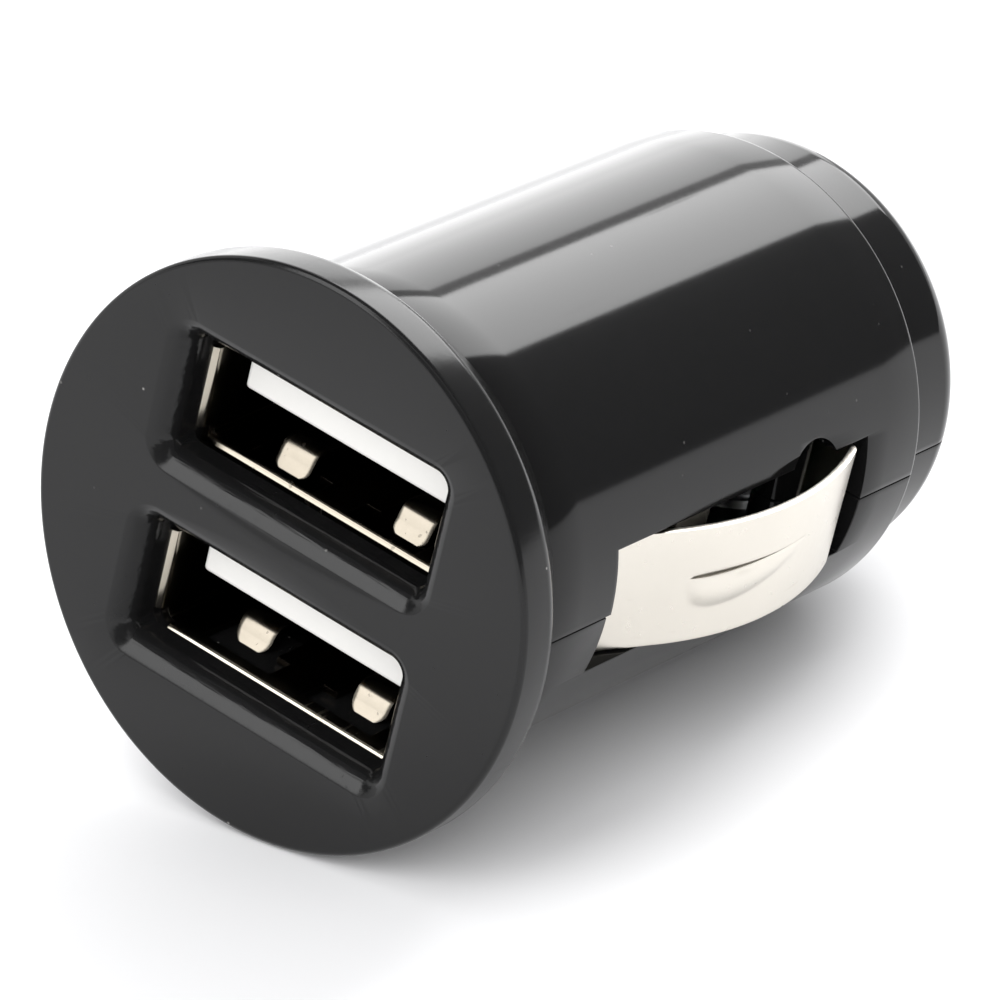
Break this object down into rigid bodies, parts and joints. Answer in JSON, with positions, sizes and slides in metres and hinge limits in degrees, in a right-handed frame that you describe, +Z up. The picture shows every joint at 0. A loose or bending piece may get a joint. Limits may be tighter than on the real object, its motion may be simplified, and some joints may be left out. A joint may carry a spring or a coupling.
{
  "type": "car usb charger plug",
  "caption": "Compact charger plug for a 12 V vehicle socket, with stacked USB-A sockets in its flared face, bowed spring contacts in side windows and a sprung nose contact.",
  "frame": {"origin": "centre of the flat front face, between the two sockets", "axes": "+Y from the front face to the nose contact, +X to the right seen from the front, +Z up, square to the seam between the body shells, with each tongue in the upper half of its socket"},
  "size_m": [0.0248, 0.0413, 0.0248],
  "materials": {
    "face_plastic": "satin black moulding",
    "shell_plastic": "polished black moulding",
    "plated_shell": "bright tin-plated sheet",
    "insulator_white": "white moulding",
    "contact_gold": "gold-plated",
    "leaf_nickel": "nickel-plated spring sheet",
    "nose_nickel": "turned, nickel-plated",
    "spring_wire": "drawn wire",
    "terminal_brass": "stamped",
    "board_green": "solder-masked laminate",
    "ferrite": "matt ceramic",
    "copper_wire": "enamelled copper",
    "can_aluminium": "drawn can",
    "chip_black": "moulded package",
    "fuse_green": "coated body",
    "ceramic_tan": "fired ceramic"
  },
  "bodies": {
    "housing": {"front_cap": "face_plastic", "upper_shell": "shell_plastic", "lower_shell": "shell_plastic", "usb_shell": "plated_shell", "usb_rear_shield": "plated_shell", "usb_insulator": "insulator_white", "usb_contacts_upper": "contact_gold", "usb_contacts_lower": "contact_gold", "contact_spring": "spring_wire", "spring_terminal": "terminal_brass", "circuit_board": "board_green", "inductor_core": "ferrite", "inductor_winding": "copper_wire", "input_capacitor": "can_aluminium", "output_capacitor": "can_aluminium", "regulator_chip": "chip_black", "rectifier_diode": "chip_black", "resettable_fuse": "fuse_green", "ceramic_capacitors": "ceramic_tan", "chip_resistors": "chip_black"},
    "leaf_right": {"ground_leaf_right": "leaf_nickel"},
    "leaf_left": {"ground_leaf_left": "leaf_nickel"},
    "nose_contact": {"centre_contact": "nose_nickel"}
  },
  "joints": [
    {"name": "leaf_right_flex", "type": "hinge", "parent": "housing", "child": "leaf_right", "pos_m": [0.00895, 0.0076, 0], "axis": [0, 0, 1], "range_deg": [0, 5], "stiffness_Nm_per_rad": 0.5},
    {"name": "leaf_left_flex", "type": "hinge", "parent": "housing", "child": "leaf_left", "pos_m": [-0.00895, 0.0076, 0], "axis": [0, 0, -1], "range_deg": [0, 5], "stiffness_Nm_per_rad": 0.5},
    {"name": "nose_contact_slide", "type": "slide", "parent": "housing", "child": "nose_contact", "axis": [0, -1, 0], "range_m": [0, 0.0022], "stiffness_N_per_m": 1500, "deforming": ["contact_spring"]}
  ]
}
